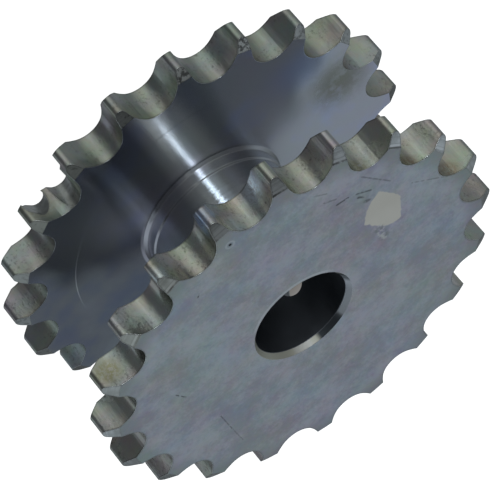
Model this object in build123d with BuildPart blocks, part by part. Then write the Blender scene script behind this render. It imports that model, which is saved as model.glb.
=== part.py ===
"""Twin chain sprocket: two rows of teeth and the hub between them, turned and hobbed from one bar.

Millimetres. The bore's axis is +Z, the lower row's outer face lies at z = 0 and a tooth points along +X.
"""
from build123d import *
import os
from math import cos, pi, radians, sin

os.makedirs("parts", exist_ok=True)

# roller chain that the teeth run in, half an inch from pin to pin
chain_pitch = 12.7
roller_d = 8.51

# the two rows of teeth: row_step goes from one row's face to the same face of the other
teeth = 20
tip_d = 86.3
tooth_w = 7.2
row_step = 30.4
outer_bevel_depth = 2.9
outer_bevel_w = 1.6
inner_bevel_depth = 2.5
inner_bevel_w = 1.5
tip_round = 1.1

# hub between the rows: next to each row it was left a little thicker, with a chamfer in the corner
hub_d = 29.0
root_band_h = 0.3
root_band_w = 3.0
root_chamfer = 0.6

# bore for the shaft, chamfered at both mouths
bore_d = 20.0
mouth_chamfer = 0.8
mouth_chamfer_w = 1.1

# set screw hole through one wall of the hub, in line with a tooth space
screw_core_d = 5.0
screw_below_top = 12.7
screw_space = 5

# two gouges in the lower row, deepest at its outer face and running out towards its inner face
# one lies in the bottom of a tooth space, the other in the flank of the tooth next to it
# depths are from the root circle and the tip circle, sides from the middle of the space
gouge_space = 16
gouge_l = 2.0
root_gouge_r = 2.15
root_gouge_depth = 2.35
root_gouge_side = 0.5
root_runout_up = 2.2
root_runout_side = 0.6
flank_gouge_r = 1.65
flank_gouge_depth = 6.6
flank_gouge_side = 5.25
flank_runout_up = 4.0
flank_runout_side = 2.9

# how far round its centre the topping arc is drawn, in radians: enough to pass the tooth's tip
topping_turn = 1.0

# how closely an edge's radius has to agree with a size to be taken for it
match = 0.01

# worked out from the sizes above
tooth_angle = 360 / teeth
pitch_r = chain_pitch / 2 / sin(radians(tooth_angle / 2))
seat_r = 0.5025 * roller_d + 0.003 * chain_pitch
root_r = pitch_r - seat_r
tip_r = tip_d / 2
hub_r = hub_d / 2
bore_r = bore_d / 2
length = row_step + tooth_w
gouge_angle = (gouge_space + 0.5) * tooth_angle
screw_angle = (screw_space + 0.5) * tooth_angle


def on_circle(centre, radius, angle):
    """Point on a circle, at an angle in radians."""
    return (centre[0] + radius * cos(angle), centre[1] + radius * sin(angle))


def space_outline():
    """Draws the tooth space on +X by the standard hobbed form, from its root to past the tips.

    The seating arc holds the roller, the working arc leads it in, a short straight line follows,
    and the topping arc rounds the tooth off. The other flank is the mirror image.
    """
    seat_turn = radians(35 + 60 / teeth)
    working_turn = radians(18 - 56 / teeth)
    working_offset = 0.8 * roller_d
    topping_offset = 1.4 * roller_d
    working_r = working_offset + seat_r
    topping_r = topping_offset * cos(radians(17 - 64 / teeth)) + working_offset * cos(working_turn)
    topping_r -= working_r
    seat_end = pi / 2 + seat_turn
    working_end = seat_end - working_turn
    topping_start = working_end - pi
    seat_c = (pitch_r, 0)
    working_c = on_circle(seat_c, working_offset, seat_end - pi)
    topping_c = on_circle(seat_c, topping_offset, pi / 2 + pi / teeth)

    seat = ThreePointArc(
        on_circle(seat_c, seat_r, pi),
        on_circle(seat_c, seat_r, (pi + seat_end) / 2),
        on_circle(seat_c, seat_r, seat_end),
    )
    working = ThreePointArc(
        seat @ 1,
        on_circle(working_c, working_r, (seat_end + working_end) / 2),
        on_circle(working_c, working_r, working_end),
    )
    Line(working @ 1, on_circle(topping_c, topping_r, topping_start))
    topping = ThreePointArc(
        on_circle(topping_c, topping_r, topping_start),
        on_circle(topping_c, topping_r, topping_start + topping_turn / 2),
        on_circle(topping_c, topping_r, topping_start + topping_turn),
    )
    Line(topping @ 1, (tip_r + roller_d, 0))
    mirror(about=Plane.XZ)


def rim(z, lower_bevel, upper_bevel):
    """Edge of the row of teeth that starts at height z. A bevel is its depth and its width."""
    return [
        (tip_r - lower_bevel[0], z),
        (tip_r, z + lower_bevel[1]),
        (tip_r, z + tooth_w - upper_bevel[1]),
        (tip_r - upper_bevel[0], z + tooth_w),
    ]


with BuildSketch(Plane.XY) as space:
    with BuildLine():
        space_outline()
    make_face()

with BuildPart() as sprocket:
    # turned blank, solid at first
    band_r = hub_r + root_band_h
    outer_bevel = (outer_bevel_depth, outer_bevel_w)
    inner_bevel = (inner_bevel_depth, inner_bevel_w)
    with BuildSketch(Plane.XZ):
        with BuildLine():
            Polyline(
                (0, 0),
                *rim(0, outer_bevel, inner_bevel),
                (band_r + root_chamfer, tooth_w),
                (band_r, tooth_w + root_chamfer),
                (band_r, tooth_w + root_band_w - root_band_h),
                (hub_r, tooth_w + root_band_w),
                (hub_r, row_step - root_band_w),
                (band_r, row_step - root_band_w + root_band_h),
                (band_r, row_step - root_chamfer),
                (band_r + root_chamfer, row_step),
                *rim(row_step, inner_bevel, outer_bevel),
                (0, length),
                close=True,
            )
        make_face()
    revolve(axis=Axis.Z)

    # teeth: both rows are hobbed in one pass, so they are in step
    with BuildSketch(Plane.XY) as tooth_outline:
        with Locations(Rotation(0, 0, tooth_angle / 2)):
            Circle(tip_r)
        with PolarLocations(0, teeth, start_angle=tooth_angle / 2):
            add(space.sketch, mode=Mode.SUBTRACT)
        # taking a margin off all round and giving it back rounds the corners that point outward
        offset(amount=-tip_round, mode=Mode.REPLACE)
        offset(amount=tip_round, mode=Mode.REPLACE)
    extrude(amount=length, mode=Mode.INTERSECT)

    # bore and its mouths
    Hole(bore_r, depth=length)
    mouths = sprocket.edges().filter_by(GeomType.CIRCLE).filter_by(lambda e: abs(e.radius - bore_r) < match)
    chamfer(mouths, length=mouth_chamfer_w, length2=mouth_chamfer)

    # set screw hole, from the bore out through one wall
    screw_dir = Vector(1, 0, 0).rotate(Axis.Z, screw_angle)
    with BuildSketch(Plane(origin=(0, 0, length - screw_below_top), z_dir=screw_dir)):
        Circle(screw_core_d / 2)
    extrude(amount=band_r, mode=Mode.SUBTRACT)

    # gouges in the lower row: each is a slot that leans outward as it rises, until it leaves the metal
    # their starts and leans are given for a tooth space on +X and turned to the gouged one
    root_start = Vector(root_r - root_gouge_depth + root_gouge_r, root_gouge_side, 0)
    root_lean = Vector(root_runout_up, -root_runout_side, tooth_w)
    flank_start = Vector(tip_r - flank_gouge_depth + flank_gouge_r, flank_gouge_side, 0)
    flank_lean = Vector(flank_runout_up, -flank_runout_side, tooth_w)
    for start, lean, radius in (
        (root_start, root_lean, root_gouge_r),
        (flank_start, flank_lean, flank_gouge_r),
    ):
        below = (start - lean).rotate(Axis.Z, gouge_angle)
        run = lean.rotate(Axis.Z, gouge_angle)
        outward = Vector(1, 0, 0).rotate(Axis.Z, gouge_angle)
        across = run.cross(outward)
        with BuildSketch(Plane(origin=below, x_dir=across.cross(run), z_dir=run)):
            with Locations((gouge_l / 2, 0)):
                SlotCenterToCenter(gouge_l, 2 * radius)
        extrude(amount=3 * lean.length, mode=Mode.SUBTRACT)
sprocket.part.label = "sprocket"

export_step(sprocket.part, "parts/sprocket.step")
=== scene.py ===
import math

import bpy
from mathutils import Matrix, Vector


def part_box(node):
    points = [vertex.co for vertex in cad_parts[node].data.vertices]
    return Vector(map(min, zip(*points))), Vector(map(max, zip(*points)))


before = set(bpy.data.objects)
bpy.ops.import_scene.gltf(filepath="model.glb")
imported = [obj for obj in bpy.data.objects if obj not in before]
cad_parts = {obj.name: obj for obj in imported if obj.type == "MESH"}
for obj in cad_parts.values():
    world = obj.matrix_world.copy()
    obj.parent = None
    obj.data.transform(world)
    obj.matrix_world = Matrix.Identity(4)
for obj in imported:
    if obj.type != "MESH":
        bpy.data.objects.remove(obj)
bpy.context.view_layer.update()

# the part's own sizes, read from the frame, in metres
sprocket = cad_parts["sprocket"]
lowCorner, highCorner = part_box("sprocket")
partLength = highCorner.z - lowCorner.z
mm = 0.001


# where the camera stands
cameraPlace = {
    "azimuth": -2.666,  # degrees round the part, 0 looks along +Y
    "elevation": 30.683,
    "roll": -139.96,  # the part was photographed lying over, so the camera leans
    "aim": (-0.17 * mm, -0.37 * mm, 18.16 * mm),
    "distance": 0.6821,
    "focalLength": 269.85,
    "sensorWidth": 36,
    "clip": (0.02, 20),
}


def makeCamera(place):
    a, e, roll = (math.radians(place[k]) for k in ("azimuth", "elevation", "roll"))
    back = Vector((math.sin(a) * math.cos(e), -math.cos(a) * math.cos(e), math.sin(e)))
    level = (-back).cross(Vector((0, 0, 1))).normalized()
    upright = level.cross(-back)
    up = upright * math.cos(roll) + level * math.sin(roll)
    data = bpy.data.cameras.new("camera")
    data.lens = place["focalLength"]
    data.sensor_width = place["sensorWidth"]
    data.clip_start, data.clip_end = place["clip"]
    camera = bpy.data.objects.new("camera", data)
    bpy.context.scene.collection.objects.link(camera)
    turn = Matrix((up.cross(back), up, back)).transposed().to_4x4()
    camera.matrix_world = Matrix.Translation(Vector(place["aim"]) + back * place["distance"]) @ turn
    bpy.context.scene.camera = camera
    print("camera made")


# short ways to write node trees
def newMaterial(name):
    material = bpy.data.materials.new(name)
    material.use_nodes = True
    material.node_tree.nodes.clear()
    return material, material.node_tree


def add(tree, kind, values=None, **settings):
    node = tree.nodes.new(kind)
    for key, value in settings.items():
        setattr(node, key, value)
    for key, value in (values or {}).items():
        if isinstance(value, bpy.types.NodeSocket):
            tree.links.new(value, node.inputs[key])
        else:
            node.inputs[key].default_value = value
    return node


def calc(tree, operation, *values):
    return add(tree, "ShaderNodeMath", dict(enumerate(values)), operation=operation).outputs[0]


def vectorCalc(tree, operation, *values):
    node = add(tree, "ShaderNodeVectorMath", dict(enumerate(values)), operation=operation)
    return node.outputs["Value" if operation in ("LENGTH", "DOT_PRODUCT") else "Vector"]


def scaled(tree, vector, factor):
    return add(tree, "ShaderNodeVectorMath", {0: vector, "Scale": factor}, operation="SCALE").outputs[0]


def times(tree, first, *others):
    for other in others:
        first = calc(tree, "MULTIPLY", first, other)
    return first


def ramp(tree, value, low, high, atLow=0.0, atHigh=1.0):
    node = add(tree, "ShaderNodeMapRange", interpolation_type="SMOOTHSTEP", values={
        "Value": value, "From Min": low, "From Max": high, "To Min": atLow, "To Max": atHigh})
    return node.outputs["Result"]


def grade(tree, value, look):
    # ramp between two levels of a value, over a range that is 0 to 1 unless it is given
    return ramp(tree, value, *look["levels"], *look.get("range", (0.0, 1.0)))


def near(tree, value, middle, flat, soft):
    # 1 within flat of the middle, then down to 0 over soft
    away = calc(tree, "ABSOLUTE", calc(tree, "SUBTRACT", value, middle))
    return ramp(tree, away, flat, flat + soft, 1.0, 0.0)


def inSector(tree, azimuth, sector):
    # the same round the axis, in degrees and across the half turn, from the sector's share down to 0
    away = calc(tree, "WRAP", calc(tree, "SUBTRACT", azimuth, sector["azimuth"]), 180.0, -180.0)
    flat, share = sector["flat"], sector.get("share", 1.0)
    return ramp(tree, calc(tree, "ABSOLUTE", away), flat, flat + sector["soft"], share, 0.0)


def blend(tree, share, first, second, mode="MIX"):
    colours = {6: first, 7: second}
    for key, colour in colours.items():
        if isinstance(colour, tuple) and len(colour) == 3:
            colours[key] = (*colour, 1)
    node = add(tree, "ShaderNodeMix", {0: share, **colours}, data_type="RGBA", blend_type=mode)
    return node.outputs[2]


def noise(tree, place, settings, output="Fac"):
    # its settings are a scale, a detail and a roughness
    scale, detail, roughness = settings
    node = add(tree, "ShaderNodeTexNoise", {"Vector": place, "Scale": scale, "Detail": detail,
                                            "Roughness": roughness})
    return node.outputs[output]


def wobble(tree, value, size):
    # a noise swings round 0.5, and this makes it swing round 0
    return times(tree, calc(tree, "SUBTRACT", value, 0.5), size)


def mottle(tree, spot, colour, look):
    # uneven tint: a fine coloured noise laid over the finish
    cast = noise(tree, spot["place"], look["noise"], "Color")
    return blend(tree, look["share"], colour, cast, "OVERLAY")


def distanceTo(tree, place, centre, squeeze=(1, 1, 1)):
    # how far a place is from a point, stretched along the axes if asked
    away = vectorCalc(tree, "SUBTRACT", place, centre)
    return vectorCalc(tree, "LENGTH", vectorCalc(tree, "MULTIPLY", away, squeeze))


def bumped(tree, height, look, normal):
    return add(tree, "ShaderNodeBump", {"Height": height, "Strength": look["strength"],
                                        "Distance": look["depth"], "Normal": normal}).outputs[0]


def polar(tree, vector):
    # height, radius and azimuth in degrees of a place or direction
    axes = add(tree, "ShaderNodeSeparateXYZ", {"Vector": vector})
    x, y, z = (axes.outputs[k] for k in "XYZ")
    radius = calc(tree, "SQRT", calc(tree, "ADD", times(tree, x, x), times(tree, y, y)))
    azimuth = times(tree, calc(tree, "ARCTAN2", y, x), 180 / math.pi)
    return z, radius, azimuth


# the room's light: a dim grey all round, and soft boxes that the steel mirrors
# in degrees, azimuth from +X and elevation from level: each box is even within flat and rise,
# then fades over soft and fade
roomLook = {
    "grey": (0.098, 0.104, 0.110),
    "boxes": {
        "frontLeft": {"azimuth": -118, "flat": 21, "soft": 34, "elevation": -18, "rise": 38, "fade": 22,
                      "colour": (0.37, 0.385, 0.36)},
        "right": {"azimuth": 9, "flat": 11, "soft": 13, "elevation": -4, "rise": 38, "fade": 14,
                  "colour": (0.22, 0.25, 0.26)},
        "left": {"azimuth": 160, "flat": 30, "soft": 25, "elevation": -18, "rise": 30, "fade": 20,
                 "colour": (0.12, 0.135, 0.135)},
        "back": {"azimuth": 95, "flat": 45, "soft": 30, "elevation": 38, "rise": 14, "fade": 18,
                 "colour": (0.25, 0.285, 0.325)},
        "tail": {"azimuth": -119, "flat": 3, "soft": 11, "elevation": 30, "rise": 12, "fade": 10,
                 "colour": (0.42, 0.46, 0.50)},
        "gleam": {"azimuth": -111, "flat": 2, "soft": 9, "elevation": -31, "rise": 6, "fade": 8,
                  "colour": (0.20, 0.21, 0.22)},
        "tableBack": {"azimuth": 87, "flat": 25, "soft": 25, "elevation": -30, "rise": 10, "fade": 12,
                      "colour": (0.14, 0.145, 0.155)},
        "rightHigh": {"azimuth": 8, "flat": 22, "soft": 22, "elevation": 30, "rise": 12, "fade": 10,
                      "colour": (0.24, 0.28, 0.32)},
        "topRight": {"azimuth": 25, "flat": 18, "soft": 25, "elevation": 56, "rise": 8, "fade": 12,
                     "colour": (0.22, 0.24, 0.22)},
    },
}


def makeWorld(look):
    world = bpy.data.worlds.new("room")
    bpy.context.scene.world = world
    world.use_nodes = True
    tree = world.node_tree
    tree.nodes.clear()
    height, radius, azimuth = polar(tree, add(tree, "ShaderNodeTexCoord").outputs["Generated"])
    elevation = times(tree, calc(tree, "ARCTAN2", height, radius), 180 / math.pi)
    light = (*look["grey"], 1)
    for box in look["boxes"].values():
        share = times(tree, inSector(tree, azimuth, box),
                      near(tree, elevation, box["elevation"], box["rise"], box["fade"]))
        light = blend(tree, share, light, box["colour"], "ADD")
    background = add(tree, "ShaderNodeBackground", {"Color": light, "Strength": 1.0})
    add(tree, "ShaderNodeOutputWorld", {"Surface": background.outputs[0]})
    print("world made")


# narrow lamp that draws the bright line down the hub
lampPlace = {
    "azimuth": -110.2,
    "elevation": 22,
    "distance": 0.9,
    "width": 0.072,
    "height": 0.56,
    "power": 1.1,
    "colour": (0.84, 0.91, 1.0),
}


def makeLamp(place):
    a, e = math.radians(place["azimuth"]), math.radians(place["elevation"])
    data = bpy.data.lights.new("lamp", "AREA")
    data.shape = "RECTANGLE"
    data.size, data.size_y = place["width"], place["height"]
    data.energy = place["power"]
    data.color = place["colour"]
    lamp = bpy.data.objects.new("lamp", data)
    bpy.context.scene.collection.objects.link(lamp)
    out = Vector((math.cos(a) * math.cos(e), math.sin(a) * math.cos(e), math.sin(e)))
    lamp.location = Vector((0, 0, partLength / 2)) + out * place["distance"]
    lamp.rotation_mode = "QUATERNION"
    lamp.rotation_quaternion = out.to_track_quat("Z", "Y")
    print("lamp made")


floorLook = {
    "radius": 1.6,
    "rise": 0.5,
    "wall": 2.4,
    "sides": 96,
    "steps": 12,
    "drop": 0.05 * mm,  # keeps the floor clear of the part's lower face
    "white": (0.93, 0.93, 0.925),
    "roughness": 0.9,
    "glow": 1.0,
    # painted soft shadow on the floor
    "shadow": {"place": (2 * mm, 40 * mm, 0), "halfWidth": 32 * mm, "halfLength": 40 * mm,
               "levels": (0.36, 1.0), "colour": (0.14, 0.13, 0.12)},
}


def floorMesh(look):
    # flat disc that curves up into a wall all round, so no horizon shows
    profile = [(look["radius"], 0.0)]
    for step in range(1, look["steps"] + 1):
        t = math.pi / 2 * step / look["steps"]
        profile.append((look["radius"] + look["rise"] * math.sin(t), look["rise"] * (1 - math.cos(t))))
    profile.append((look["radius"] + look["rise"], look["wall"]))
    sides = look["sides"]
    points = [(0, 0, -look["drop"])]
    for radius, height in profile:
        for k in range(sides):
            t = 2 * math.pi * k / sides
            points.append((radius * math.cos(t), radius * math.sin(t), height - look["drop"]))
    faces = [(0, 1 + k, 1 + (k + 1) % sides) for k in range(sides)]
    for ring in range(len(profile) - 1):
        first = 1 + ring * sides
        for k in range(sides):
            j = (k + 1) % sides
            faces.append((first + k, first + sides + k, first + sides + j, first + j))
    mesh = bpy.data.meshes.new("floor")
    mesh.from_pydata(points, [], faces)
    mesh.polygons.foreach_set("use_smooth", [True] * len(faces))
    return mesh


def floorMaterial(look):
    material, tree = newMaterial("whiteTable")
    # painted soft shadow behind the part, away from the lamp
    shadow = look["shadow"]
    place = add(tree, "ShaderNodeTexCoord").outputs["Object"]
    squeeze = (1 / shadow["halfWidth"], 1 / shadow["halfLength"], 0)
    away = distanceTo(tree, place, shadow["place"], squeeze)
    colour = blend(tree, grade(tree, away, shadow), shadow["colour"], look["white"])
    table = add(tree, "ShaderNodeBsdfPrincipled", {
        "Base Color": colour, "Roughness": look["roughness"],
        "Emission Color": colour, "Emission Strength": look["glow"]})
    # seen from below, the floor lets the part through
    isBelow = add(tree, "ShaderNodeNewGeometry").outputs["Backfacing"]
    clear = add(tree, "ShaderNodeBsdfTransparent")
    shader = add(tree, "ShaderNodeMixShader", {0: isBelow, 1: table.outputs[0], 2: clear.outputs[0]})
    add(tree, "ShaderNodeOutputMaterial", {"Surface": shader.outputs[0]})
    return material


def makeFloor(look):
    floor = bpy.data.objects.new("floor", floorMesh(look))
    bpy.context.scene.collection.objects.link(floor)
    floor.data.materials.append(floorMaterial(look))
    floor.visible_glossy = False
    floor.visible_diffuse = False
    print("floor made")


# marks on the upper face: their points are a radius in millimetres and an azimuth in degrees
scratchCore = 0.4  # share of a scratch's width that is fully dark


def onFace(radius, azimuth):
    t = math.radians(azimuth)
    return Vector((radius * mm * math.cos(t), radius * mm * math.sin(t), partLength))


def scratchMark(tree, spot, scratch):
    # nearness to the straight line from start to end
    start, end = onFace(*scratch["start"]), onFace(*scratch["end"])
    along = (end - start).normalized()
    away = vectorCalc(tree, "SUBTRACT", spot["place"], start)
    run = calc(tree, "MAXIMUM", vectorCalc(tree, "DOT_PRODUCT", away, along), 0.0)
    foot = scaled(tree, along, calc(tree, "MINIMUM", run, (end - start).length))
    gap = vectorCalc(tree, "LENGTH", vectorCalc(tree, "SUBTRACT", away, foot))
    return ramp(tree, gap, scratchCore * scratch["width"], scratch["width"], 1.0, 0.0)


def patchMark(tree, spot, patch):
    # inside of a shape with straight sides, its edge made ragged by noise
    points = [onFace(*corner) for corner in patch["corners"]]
    middle = sum(points, Vector()) / len(points)
    inside = None
    for first, second in zip(points, points[1:] + points[:1]):
        side = (second - first).normalized()
        inward = Vector((-side.y, side.x, 0))
        if inward.dot(middle - first) < 0:
            inward = -inward
        depth = vectorCalc(tree, "DOT_PRODUCT", vectorCalc(tree, "SUBTRACT", spot["place"], first), inward)
        inside = depth if inside is None else calc(tree, "SMOOTH_MIN", inside, depth, patch["round"])
    ragged = wobble(tree, noise(tree, spot["place"], patch["noise"]), patch["ragged"])
    edge = calc(tree, "ADD", inside, ragged)
    return ramp(tree, edge, -patch["soft"], patch["soft"])


# outer faces: fine ground steel with a soft, cloudy cast
satinLook = {
    "colour": (0.425, 0.455, 0.49),
    "clouds": {"noise": (150.0, 4.0, 0.6), "levels": (0.35, 0.65), "colour": (0.47, 0.475, 0.50)},
    "speckle": {"noise": (900.0, 3.0, 0.6), "levels": (0.45, 0.75), "range": (0.0, 0.35)},
    "pale": {"noise": (60.0, 6.0, 0.85), "levels": (0.38, 0.62), "colour": (1.34, 1.32, 1.30)},
    "rim": {"levels": (34.5 * mm, 40 * mm), "colour": (0.41, 0.435, 0.43)},
    "mottle": {"noise": (80.0, 6.0, 0.85), "share": 0.32},
    "grime": {"levels": (0.40, 0.55), "range": (0.0, 0.7), "colour": (0.20, 0.215, 0.20)},
    # painted shade along the edges on the far side
    "farSideShade": {"azimuth": 85, "flat": 80, "soft": 40, "share": 0.75},
    "clearOfBore": {"levels": (14 * mm, 20 * mm)},
    "worn": (0.82, 0.84, 0.83),
    "roughness": {"levels": (0.3, 0.7), "range": (0.33, 0.42)},
    "grain": {"noise": (2400.0, 2.0, 0.6), "strength": 0.10, "depth": 0.03 * mm},
}


# what has happened to the upper face
marksLook = {
    "patch": {"colour": (0.84, 0.79, 0.68), "soft": 0.18 * mm, "ragged": 1.0 * mm, "round": 0.8 * mm,
              "noise": (700.0, 2.0, 0.5),
              "corners": ((30.2, -147.6), (29.9, -154.4), (29.7, -160.3), (25.8, -171.4), (24.2, -170.8),
                          (22.6, -166.3), (22.2, -151.6), (24.56, -148.0), (27.2, -146.6))},
    "smear": {"start": (21.8, -164.2), "end": (21.0, -172.4), "width": 1.5 * mm,
              "dark": {"levels": (0.52, 0.40), "range": (0.0, 0.6), "colour": (0.28, 0.30, 0.28)},
              "pale": {"levels": (0.52, 0.62), "range": (0.0, 0.8), "colour": (0.72, 0.73, 0.68)}},
    "groove": {"noise": (1400.0, 2.0, 0.5), "levels": (0.36, 0.52), "colour": (0.09, 0.09, 0.09)},
    "scratches": (
        {"start": (28.9, -129.3), "end": (29.9, -133.5), "width": 0.35 * mm, "share": 0.75},
        {"start": (29.3, -137.6), "end": (29.2, -141.0), "width": 0.40 * mm, "share": 0.75},
        {"start": (30.3, -137.0), "end": (30.7, -143.2), "width": 0.30 * mm, "share": 0.65},
        {"start": (27.9, -143.5), "end": (28.3, -144.9), "width": 0.60 * mm, "share": 0.55},
        {"start": (32.7, -161.1), "end": (36.8, -174.0), "width": 0.22 * mm, "share": 0.40},
        {"start": (34.6, -136.0), "end": (32.6, -150.0), "width": 0.25 * mm, "share": 0.45},
        {"start": (30.8, -122.5), "end": (30.6, -128.0), "width": 0.30 * mm, "share": 0.40},
        {"start": (33.9, -119.0), "end": (33.2, -123.5), "width": 0.25 * mm, "share": 0.35},
        {"start": (28.1, -19.3), "end": (26.4, -13.9), "width": 0.20 * mm, "share": 0.70},
        {"start": (25.2, 17.6), "end": (28.1, 29.8), "width": 0.18 * mm, "share": 0.50},
        {"start": (28.1, 29.8), "end": (31.9, 39.4), "width": 0.18 * mm, "share": 0.35},
        {"start": (32.1, -70.4), "end": (32.5, -71.6), "width": 0.25 * mm, "share": 0.80},
    ),
    "pit": {"place": (36.5, -89.8), "levels": (0.42 * mm, 0.21 * mm), "colour": (0.02, 0.02, 0.02)},
    "pitRim": {"radius": 0.85 * mm, "flat": 0.1 * mm, "soft": 0.2 * mm, "share": 0.35},
    # painted highlight along the bore's lip
    "lipHighlight": {"levels": (11.6 * mm, 11.35 * mm), "azimuth": -95, "flat": 40, "soft": 25, "share": 0.55},
    "worn": (0.82, 0.84, 0.83),
}


def markedFace(tree, look, spot, speckle, colour):
    patch, smear, groove = look["patch"], look["smear"], look["groove"]
    isPatch = times(tree, spot["isUpper"], patchMark(tree, spot, patch))
    colour = blend(tree, isPatch, colour, patch["colour"])
    mark = times(tree, scratchMark(tree, spot, smear), spot["isUpper"])
    for part in (smear["dark"], smear["pale"]):
        colour = blend(tree, times(tree, mark, grade(tree, speckle, part)), colour, part["colour"])
    ragged = grade(tree, noise(tree, spot["place"], groove["noise"]), groove)
    for scratch in look["scratches"]:
        share = times(tree, scratchMark(tree, spot, scratch), spot["isUpper"], ragged, scratch["share"])
        colour = blend(tree, share, colour, groove["colour"])
    pit, rim, lipHighlight = look["pit"], look["pitRim"], look["lipHighlight"]
    away = distanceTo(tree, spot["place"], onFace(*pit["place"]))
    isPitRim = times(tree, near(tree, away, rim["radius"], rim["flat"], rim["soft"]), rim["share"])
    colour = blend(tree, isPitRim, colour, look["worn"])
    colour = blend(tree, grade(tree, away, pit), colour, pit["colour"])
    # painted highlight on the lip of the bore on the near side
    isLipHighlight = times(tree, grade(tree, spot["radius"], lipHighlight), inSector(tree, spot["azimuth"], lipHighlight))
    return blend(tree, isLipHighlight, colour, look["worn"])


def steel(tree, colour, roughness, values):
    return add(tree, "ShaderNodeBsdfPrincipled", {
        "Base Color": colour, "Metallic": 1.0, "Roughness": roughness, **values}).outputs[0]


def satinFinish(tree, look, spot):
    clouds, speckle, shade, grain = (
        noise(tree, spot["place"], look[k]["noise"]) for k in ("clouds", "speckle", "pale", "grain"))
    pale, rim, grime = look["pale"], look["rim"], look["grime"]
    colour = blend(tree, grade(tree, clouds, look["clouds"]), look["colour"], look["clouds"]["colour"])
    colour = blend(tree, grade(tree, speckle, look["speckle"]), colour, rim["colour"])
    colour = blend(tree, grade(tree, shade, pale), colour, pale["colour"], "MULTIPLY")
    colour = blend(tree, grade(tree, spot["radius"], rim), colour, rim["colour"])
    colour = mottle(tree, spot, colour, look["mottle"])
    # along the edges: grime broken in front, and a thick painted shade on the far side, away from the lamp
    paintedFarSideShade = inSector(tree, spot["azimuth"], look["farSideShade"])
    isGrimeAndShade = times(tree, spot["nearEdge"], calc(tree, "MAXIMUM", grade(tree, speckle, grime), paintedFarSideShade),
                    grade(tree, spot["radius"], look["clearOfBore"]))
    colour = blend(tree, isGrimeAndShade, colour, grime["colour"])
    colour = markedFace(tree, marksLook, spot, speckle, colour)
    colour = blend(tree, spot["wear"], colour, look["worn"])
    normal = bumped(tree, grain, look["grain"], spot["edgeNormal"])
    return steel(tree, colour, grade(tree, clouds, look["roughness"]), {"Normal": normal})


# bevels of the teeth: turned a little coarser, the inner ones, between the rows, darker with painted shade
bevelLook = {
    "colour": (0.86, 0.89, 0.88),
    "dull": (0.46, 0.48, 0.46),
    "clouds": {"noise": (260.0, 3.0, 0.6), "levels": (0.3, 0.7)},
    "lines": {"noise": (2200.0, 2.0, 0.5), "levels": (0.47, 0.60), "range": (0.0, 0.5),
              "strength": 0.5, "depth": 0.04 * mm},
    # painted shade on one side of the bevels
    "paintedShadeSide": {"azimuth": -40, "flat": 8, "soft": 18, "share": 0.6},
    # painted shade on the inner bevels, between the rows
    "inner": {"levels": (3.6 * mm, 4.6 * mm), "share": 0.75, "colour": (0.31, 0.32, 0.30)},
    "specks": {"noise": (1300.0, 3.0, 0.65), "levels": (0.52, 0.62), "range": (0.0, 0.6)},
    # painted highlight and painted shade of a burr
    "burrLight": {"azimuth": -108, "flat": 40, "soft": 25, "levels": (0.35, 0.5)},
    "burrHighlightAndShade": (
        {"radius": 40.85 * mm, "flat": 0.14 * mm, "soft": 0.10 * mm, "share": 0.9,
         "colour": (0.85, 0.87, 0.86)},
        {"radius": 40.47 * mm, "flat": 0.10 * mm, "soft": 0.10 * mm, "share": 0.8,
         "colour": (0.16, 0.16, 0.15)},
    ),
    "pale": {"azimuth": -120, "flat": 14, "soft": 14, "levels": (0.58, 0.48), "colour": (0.95, 0.97, 0.93)},
    "grime": {"levels": (0.3, 0.5), "range": (0.0, 0.85), "colour": (0.16, 0.16, 0.15)},
    "worn": (0.85, 0.87, 0.86),
    "roughness": 0.34,
}


def bevelFinish(tree, look, spot):
    clouds = noise(tree, spot["place"], look["clouds"]["noise"])
    lines = noise(tree, spot["turns"], look["lines"]["noise"])
    specks = noise(tree, spot["place"], look["specks"]["noise"])
    inner, burrLight, pale, grime = look["inner"], look["burrLight"], look["pale"], look["grime"]
    isInner = grade(tree, spot["depth"], inner)
    colour = blend(tree, grade(tree, clouds, look["clouds"]), look["colour"], look["dull"])
    colour = blend(tree, grade(tree, lines, look["lines"]), colour, look["dull"])
    # painted shade on one side
    colour = blend(tree, inSector(tree, spot["azimuth"], look["paintedShadeSide"]), colour, inner["colour"])
    # inner bevels, between the rows: painted shade
    colour = blend(tree, times(tree, isInner, inner["share"]), colour, inner["colour"])
    colour = blend(tree, times(tree, isInner, grade(tree, specks, look["specks"])), colour, grime["colour"])
    # burr along the inside of the outer bevel, on the lamp's side: a painted highlight line with a painted
    # shade line beside it
    isPaintedBurr = times(tree, inSector(tree, spot["azimuth"], burrLight), ramp(tree, isInner, 1.0, 0.0),
                   grade(tree, clouds, burrLight))
    for line in look["burrHighlightAndShade"]:
        onLine = near(tree, spot["radius"], line["radius"], line["flat"], line["soft"])
        colour = blend(tree, times(tree, isPaintedBurr, onLine, line["share"]), colour, line["colour"])
    isPale = times(tree, isInner, inSector(tree, spot["azimuth"], pale), grade(tree, specks, pale))
    colour = blend(tree, isPale, colour, pale["colour"])
    colour = blend(tree, times(tree, spot["nearEdge"], grade(tree, clouds, grime)), colour, grime["colour"])
    colour = blend(tree, spot["wear"], colour, look["worn"])
    normal = bumped(tree, lines, look["lines"], spot["edgeNormal"])
    return steel(tree, colour, look["roughness"], {"Normal": normal})


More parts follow.
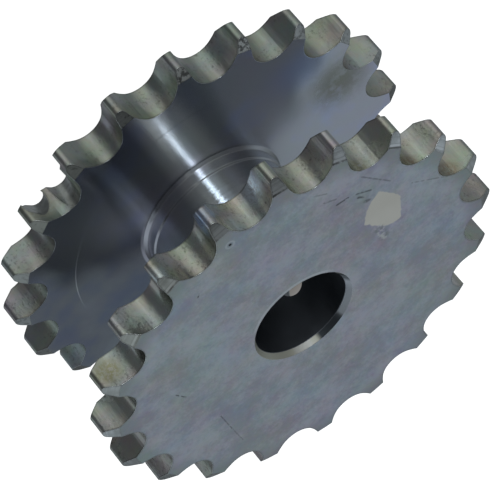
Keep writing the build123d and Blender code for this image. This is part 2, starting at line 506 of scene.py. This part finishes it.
# inner faces and hub: fine grooves round the axis, so light draws out across them
turnedLook = {
    "colour": (0.485, 0.50, 0.53),
    "shadow": (0.10, 0.11, 0.12),
    "hub": {"levels": (16.2 * mm, 15.8 * mm)},
    "fine": {"noise": (2600.0, 2.0, 0.5), "strength": 0.10, "depth": 0.02 * mm},
    "coarse": {"noise": (1100.0, 1.0, 0.5), "share": 5.0},
    "tool": {"noise": (1900.0, 1.0, 0.5), "tilt": 0.10},
    "clouds": (90.0, 3.0, 0.6),
    # painted shade on one side of the inner faces
    "navyShade": {"azimuth": 0, "flat": 28, "soft": 26, "levels": (0.2, 0.8), "range": (0.75, 1.0),
             "colour": (0.14, 0.155, 0.17)},
    "blue": {"levels": (0.50, 0.70), "range": (0.0, 0.45), "colour": (0.86, 1.0, 1.42)},
    "tint": {"place": (-30.0 * mm, -16.0 * mm, 7.2 * mm), "levels": (9.0 * mm, 0.0), "range": (0.0, 0.75)},
    "scribed": {"radius": 30.2 * mm, "flat": 0.05 * mm, "soft": 0.07 * mm},
    # painted highlight and painted shade on the scribed ring
    "scribedHighlight": {"azimuth": -44, "flat": 20, "soft": 20, "share": 0.45, "colour": (0.9, 0.92, 0.95)},
    "scribedShade": {"azimuth": -102, "flat": 10, "soft": 10, "share": 0.5},
    "grease": {"place": (-33.5 * mm, -4.0 * mm, 7.2 * mm), "levels": (9.6 * mm, 1.8 * mm),
               "ragged": 7 * mm, "roughness": 0.2, "colour": (0.29, 0.30, 0.255)},
    "greaseBreaks": {"noise": (420.0, 4.0, 0.65), "levels": (0.35, 0.55), "range": (0.6, 1.0)},
    # painted highlight along the bright line
    "streakHighlight": {"azimuth": -96, "flat": 1.5, "soft": 4.0, "levels": (15 * mm, 36 * mm), "range": (0.0, 0.95),
               "colour": (0.98, 0.99, 1.0)},
    # share of painted shade on the slopes
    "slopeShadeShare": 0.18,
    "mottle": {"noise": (45.0, 6.0, 0.75), "share": 0.13},
    "roughness": {"levels": (16 * mm, 36 * mm), "range": (0.22, 0.15)},
    "grooves": {"Anisotropic": 0.8, "Anisotropic Rotation": 0.25},
}


def turnedNormal(tree, look, spot, onHub, tangent):
    fine = noise(tree, spot["turns"], look["fine"]["noise"])
    coarse = noise(tree, spot["turns"], look["coarse"]["noise"])
    height = calc(tree, "ADD", fine, times(tree, coarse, onHub, look["coarse"]["share"]))
    bump = bumped(tree, height, look["fine"], spot["edgeNormal"])
    # each turn of the tool on the hub tilts the surface a little, which breaks the bright line's edge
    level = add(tree, "ShaderNodeCombineXYZ", {"Z": spot["z"]}).outputs[0]
    tilt = wobble(tree, noise(tree, level, look["tool"]["noise"]), look["tool"]["tilt"])
    sideways = scaled(tree, tangent, times(tree, tilt, onHub))
    return vectorCalc(tree, "NORMALIZE", vectorCalc(tree, "ADD", bump, sideways))


def turnedFinish(tree, look, spot):
    onHub = grade(tree, spot["radius"], look["hub"])
    offHub = ramp(tree, onHub, 1.0, 0.0)
    clouds = noise(tree, spot["place"], look["clouds"])
    # painted shade, dark and bluish, on one side of the inner faces, and blue clouds all over them
    navyShade, blue, tint = look["navyShade"], look["blue"], look["tint"]
    cast = times(tree, inSector(tree, spot["azimuth"], navyShade), offHub, grade(tree, clouds, navyShade))
    colour = blend(tree, cast, look["colour"], navyShade["colour"])
    isTint = grade(tree, distanceTo(tree, spot["place"], tint["place"]), tint)
    isBlue = times(tree, calc(tree, "MAXIMUM", isTint, grade(tree, clouds, blue)), offHub)
    colour = blend(tree, isBlue, colour, blue["colour"], "MULTIPLY")
    # ring scribed round the face, with a painted highlight on one side and painted shade on another
    scribed, ringHighlight, dark = look["scribed"], look["scribedHighlight"], look["scribedShade"]
    ring = near(tree, spot["radius"], scribed["radius"], scribed["flat"], scribed["soft"])
    isRingHighlight = times(tree, ring, inSector(tree, spot["azimuth"], ringHighlight))
    colour = blend(tree, isRingHighlight, colour, ringHighlight["colour"])
    grease, breaks = look["grease"], look["greaseBreaks"]
    mottled = noise(tree, spot["place"], breaks["noise"])
    away = distanceTo(tree, spot["place"], grease["place"])
    edge = calc(tree, "ADD", away, wobble(tree, mottled, grease["ragged"]))
    isGrease = times(tree, grade(tree, edge, grease), grade(tree, mottled, breaks))
    colour = blend(tree, isGrease, colour, grease["colour"])
    # where the bright line crosses the faces, a painted highlight brightens it, more towards the rim
    streakHighlight = look["streakHighlight"]
    isStreakHighlight = times(tree, inSector(tree, spot["azimuth"], streakHighlight), grade(tree, spot["radius"], streakHighlight))
    colour = blend(tree, isStreakHighlight, colour, streakHighlight["colour"])
    colour = blend(tree, times(tree, ring, inSector(tree, spot["azimuth"], dark)), colour, look["shadow"])
    # painted shade on the slopes, such as the chamfer at the foot of the hub
    colour = blend(tree, times(tree, spot["slope"], look["slopeShadeShare"]), colour, look["shadow"])
    colour = mottle(tree, spot, colour, look["mottle"])
    roughness = calc(tree, "ADD", ramp(tree, isGrease, 0.0, 1.0, 0.0, grease["roughness"]),
                     grade(tree, spot["radius"], look["roughness"]))
    tangent = add(tree, "ShaderNodeTangent", direction_type="RADIAL", axis="Z").outputs[0]
    normal = turnedNormal(tree, look, spot, onHub, tangent)
    return steel(tree, colour, roughness, {**look["grooves"], "Tangent": tangent, "Normal": normal})


# tooth flanks and spaces: cut steel, warmer, with a torn grain, old stains here and there, one dark chip
# and a painted bluish sheen, a painted reflection, on three teeth; their places and sizes are in
# millimetres
hobbedLook = {
    "colour": (0.54, 0.56, 0.54),
    "clouds": {"noise": (110.0, 3.0, 0.55), "levels": (0.35, 0.65), "colour": (0.49, 0.495, 0.46)},
    "streaks": {"noise": (1300.0, 3.0, 0.6), "stretch": (1, 1, 0.12), "levels": (0.5, 0.75),
                "range": (0.0, 0.4), "height": 0.35, "colour": (0.40, 0.41, 0.38)},
    "grain": {"noise": (1500.0, 3.0, 0.7), "levels": (0.55, 0.66), "range": (0.0, 0.6),
              "strength": 0.9, "depth": 0.08 * mm},
    "torn": {"noise": (170.0, 2.0, 0.5), "levels": (0.42, 0.60)},
    "lower": {"levels": (14 * mm, 12 * mm), "share": 0.22, "roughness": 0.07,
              "colour": (0.20, 0.215, 0.22)},
    "mottle": {"noise": (120.0, 6.0, 0.75), "share": 0.38},
    "grime": {"levels": (0.3, 0.5), "range": (0.0, 0.85), "colour": (0.16, 0.16, 0.15)},
    "worn": (0.80, 0.82, 0.80),
    "roughness": (0.21, 0.30),
    "stainAndSheenEdge": {"ragged": 3.5 * mm, "levels": (1.2, 0.4), "range": (0.0, 0.95)},
    "stainAndSheenBreaks": {"levels": (0.42, 0.56), "range": (0.45, 1.0)},
    "stainsAndSheens": (
        {"place": (31.9, -25.1, 33.8), "size": 3.4, "colour": (0.36, 0.35, 0.22)},
        {"place": (-33.0, -15.5, 36.8), "size": 2.2, "colour": (0.34, 0.27, 0.20)},
        {"place": (-25.7, -25.6, 36.6), "size": 2.6, "colour": (0.33, 0.33, 0.25)},
        {"place": (-37.6, -2.9, 36.2), "size": 2.4, "colour": (0.38, 0.31, 0.23)},
        {"place": (22.5, -34.0, 3.0), "size": 5.2, "colour": (0.36, 0.36, 0.30)},
        {"place": (25.1, -26.4, 36.9), "size": 2.0, "colour": (0.07, 0.07, 0.07)},
        # painted reflections: bluish sheens on three teeth
        {"place": (1.4, -41.3, 33.4), "size": 3.0, "colour": (0.44, 0.62, 0.95)},
        {"place": (14.1, -40.5, 35.8), "size": 3.0, "colour": (0.84, 0.94, 0.98)},
        {"place": (-9.3, -37.0, 32.4), "size": 3.6, "colour": (0.80, 0.90, 1.00)},
    ),
}


def hobbedFinish(tree, look, spot):
    clouds, grain, patches = (
        noise(tree, spot["place"], look[k]["noise"]) for k in ("clouds", "grain", "torn"))
    streak, lower, grime, edge = look["streaks"], look["lower"], look["grime"], look["stainAndSheenEdge"]
    drawn = vectorCalc(tree, "MULTIPLY", spot["place"], streak["stretch"])
    streaks = noise(tree, drawn, streak["noise"])
    torn = grade(tree, patches, look["torn"])
    colour = blend(tree, grade(tree, clouds, look["clouds"]), look["colour"], look["clouds"]["colour"])
    colour = blend(tree, grade(tree, streaks, streak), colour, streak["colour"])
    colour = blend(tree, times(tree, grade(tree, grain, look["grain"]), torn), colour, grime["colour"])
    isLower = grade(tree, spot["z"], lower)
    colour = blend(tree, times(tree, isLower, lower["share"]), colour, lower["colour"])
    colour = mottle(tree, spot, colour, look["mottle"])
    ragged = wobble(tree, grain, edge["ragged"])
    broken = grade(tree, grain, look["stainAndSheenBreaks"])
    for stainAndSheen in look["stainsAndSheens"]:
        away = distanceTo(tree, spot["place"], [v * mm for v in stainAndSheen["place"]])
        reach = calc(tree, "DIVIDE", calc(tree, "ADD", away, ragged), stainAndSheen["size"] * mm)
        colour = blend(tree, times(tree, grade(tree, reach, edge), broken), colour, stainAndSheen["colour"])
    colour = blend(tree, times(tree, spot["nearEdge"], grade(tree, clouds, grime)), colour, grime["colour"])
    colour = blend(tree, spot["wear"], colour, look["worn"])
    height = calc(tree, "ADD", times(tree, grain, torn), times(tree, streaks, streak["height"]))
    roughness = calc(tree, "ADD", ramp(tree, torn, 0.0, 1.0, *look["roughness"]),
                     times(tree, isLower, lower["roughness"]))
    normal = bumped(tree, height, look["grain"], spot["edgeNormal"])
    return steel(tree, colour, roughness, {"Normal": normal})


# bore and screw hole: dull, oiled steel
boreLook = {
    "colour": (0.22, 0.235, 0.26),
    "noise": (200.0, 3.0, 0.5),
    "roughness": {"levels": (0.3, 0.7), "range": (0.42, 0.52)},
}


def boreFinish(tree, look, spot):
    clouds = noise(tree, spot["place"], look["noise"])
    return steel(tree, (*look["colour"], 1), grade(tree, clouds, look["roughness"]), {})


# chamfer at each mouth of the bore: bright, with a painted glint on one side, painted shade on another, and
# a dark stretch in it at the upper end
mouthLook = {
    "colour": (0.68, 0.665, 0.57),
    # glint is a painted highlight and shade a painted shade, each on one side
    "glint": {"azimuth": 66, "flat": 8, "soft": 5, "colour": (0.76, 0.75, 0.70)},
    "flush": {"azimuth": 149, "flat": 29, "soft": 10, "colour": (0.70, 0.73, 0.76)},
    "shade": {"azimuth": -177, "flat": 5, "soft": 10, "colour": (0.20, 0.22, 0.23)},
    "smear": {"azimuth": 102, "flat": 13, "soft": 7, "colour": (0.08, 0.09, 0.10)},
    "rough": {"noise": (320.0, 3.0, 0.5), "strength": 0.3, "depth": 0.1 * mm},
    "roughness": 0.48,
}


def mouthFinish(tree, look, spot):
    clouds = noise(tree, spot["place"], look["rough"]["noise"])
    colour = look["colour"]
    # painted glint and painted shade, and the face's colour where it lies flush
    for name in ("glint", "flush", "shade"):
        colour = blend(tree, inSector(tree, spot["azimuth"], look[name]), colour, look[name]["colour"])
    isDarkStretch = times(tree, inSector(tree, spot["azimuth"], look["smear"]), spot["isUpper"])
    colour = blend(tree, isDarkStretch, colour, look["smear"]["colour"])
    # knocked flat on one side, where it hardly shows
    normal = blend(tree, inSector(tree, spot["azimuth"], look["flush"]), spot["edgeNormal"], (0, 0, 1))
    normal = bumped(tree, clouds, look["rough"], normal)
    return steel(tree, colour, look["roughness"], {"Normal": normal})


# where each cut lies: radii from the axis, depths below the nearer outer face,
# and for a face or wall the upright part of its normal
zones = {
    "outerDepth": 1.0 * mm,
    "rim": {"levels": (33.0 * mm, 34.0 * mm)},
    "hubDepth": 6.3 * mm,
    "underHub": 14.2 * mm,
    "bore": 10.0 * mm,
    "mouth": 11.15 * mm,
    "soft": 0.1 * mm,
    "face": {"levels": (0.93, 0.97)},
    "wall": {"levels": (0.3, 0.2)},
}

# edges: bright wear right on them, grime a little further in
# levels are how well the rounded normal agrees with the flat one
edgeLook = {
    "wear": {"radius": 0.14 * mm, "levels": (0.985, 0.90)},
    "wearShare": 0.8,
    "near": {"radius": 0.5 * mm, "levels": (0.9995, 0.965)},
    "samples": 6,
}


def edgeShare(tree, flatNormal, look):
    # the normal with its edges rounded, and how near an edge the spot is
    bevel = add(tree, "ShaderNodeBevel", {"Radius": look["radius"]}, samples=edgeLook["samples"])
    rounded = bevel.outputs[0]
    agree = vectorCalc(tree, "DOT_PRODUCT", rounded, flatNormal)
    return rounded, grade(tree, agree, look)


def makeSteel():
    material, tree = newMaterial("workedSteel")
    place = add(tree, "ShaderNodeTexCoord").outputs["Object"]
    z, radius, azimuth = polar(tree, place)
    depth = calc(tree, "SUBTRACT", partLength / 2,
                 calc(tree, "ABSOLUTE", calc(tree, "SUBTRACT", z, partLength / 2)))
    flatNormal = add(tree, "ShaderNodeNewGeometry").outputs["True Normal"]
    lean = calc(tree, "ABSOLUTE", add(tree, "ShaderNodeSeparateXYZ", {"Vector": flatNormal}).outputs["Z"])
    edgeNormal, wear = edgeShare(tree, flatNormal, edgeLook["wear"])
    nearEdge = edgeShare(tree, flatNormal, edgeLook["near"])[1]

    # which cut made this spot
    soft, outer = zones["soft"], zones["outerDepth"]
    isFace = grade(tree, lean, zones["face"])
    isWall = grade(tree, lean, zones["wall"])
    isSlope = calc(tree, "SUBTRACT", calc(tree, "SUBTRACT", 1.0, isFace), isWall)
    isOuter = ramp(tree, depth, 2 * outer, outer)
    isRim = grade(tree, radius, zones["rim"])
    inBore = ramp(tree, radius, zones["bore"] + soft, zones["bore"])
    inMouth = ramp(tree, radius, zones["mouth"] + soft, zones["mouth"])
    inHub = ramp(tree, depth, zones["hubDepth"], zones["hubDepth"] + soft)
    underHub = ramp(tree, radius, zones["underHub"], zones["underHub"] - soft)

    spot = {
        "place": place, "z": z, "radius": radius, "azimuth": azimuth, "depth": depth,
        "turns": add(tree, "ShaderNodeCombineXYZ", {"X": radius, "Y": z}).outputs[0],
        "isUpper": ramp(tree, z, partLength - 2 * outer, partLength - outer),
        "slope": isSlope, "edgeNormal": edgeNormal,
        "wear": times(tree, wear, edgeLook["wearShare"]), "nearEdge": nearEdge,
    }
    shader = turnedFinish(tree, turnedLook, spot)
    bore = boreFinish(tree, boreLook, spot)
    for share, finish in (
        (times(tree, isFace, isOuter), satinFinish(tree, satinLook, spot)),
        (times(tree, isRim, isSlope), bevelFinish(tree, bevelLook, spot)),
        (times(tree, isRim, isWall), hobbedFinish(tree, hobbedLook, spot)),
        (times(tree, inHub, underHub), bore),
        (times(tree, inMouth, isSlope), mouthFinish(tree, mouthLook, spot)),
        (inBore, bore),
    ):
        shader = add(tree, "ShaderNodeMixShader", {0: share, 1: shader, 2: finish}).outputs[0]
    add(tree, "ShaderNodeOutputMaterial", {"Surface": shader})
    sprocket.data.materials.clear()
    sprocket.data.materials.append(material)
    print("steel made")


makeCamera(cameraPlace)
makeWorld(roomLook)
makeLamp(lampPlace)
makeFloor(floorLook)
makeSteel()
bpy.context.scene.view_settings.view_transform = "Standard"
